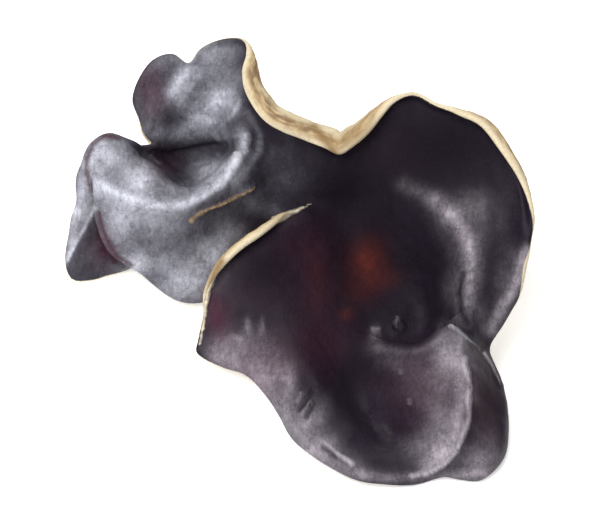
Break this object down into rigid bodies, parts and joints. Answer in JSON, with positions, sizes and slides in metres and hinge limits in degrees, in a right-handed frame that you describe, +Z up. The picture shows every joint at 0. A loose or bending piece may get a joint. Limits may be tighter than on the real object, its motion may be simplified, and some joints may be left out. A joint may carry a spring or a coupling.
{
  "type": "dried wood ear mushroom",
  "caption": "Dried cup-shaped fungus: a thin wavy sheet grown as ears joined by a narrow neck, with rolled margins and a short stub it rests on.",
  "frame": {"origin": "bottom centre of the body's bounding box, on the floor the body rests on", "axes": "+Z up from the floor, -Y towards the front ear and the viewer, +X to the viewer's right, the left ear towards -X"},
  "size_m": [0.0748, 0.0748, 0.0298],
  "materials": {
    "dried_skin": "dry and waxy, almost black, with a felted tan underside"
  },
  "bodies": {
    "root": {"fruit_body": "dried_skin"}
  },
  "joints": []
}
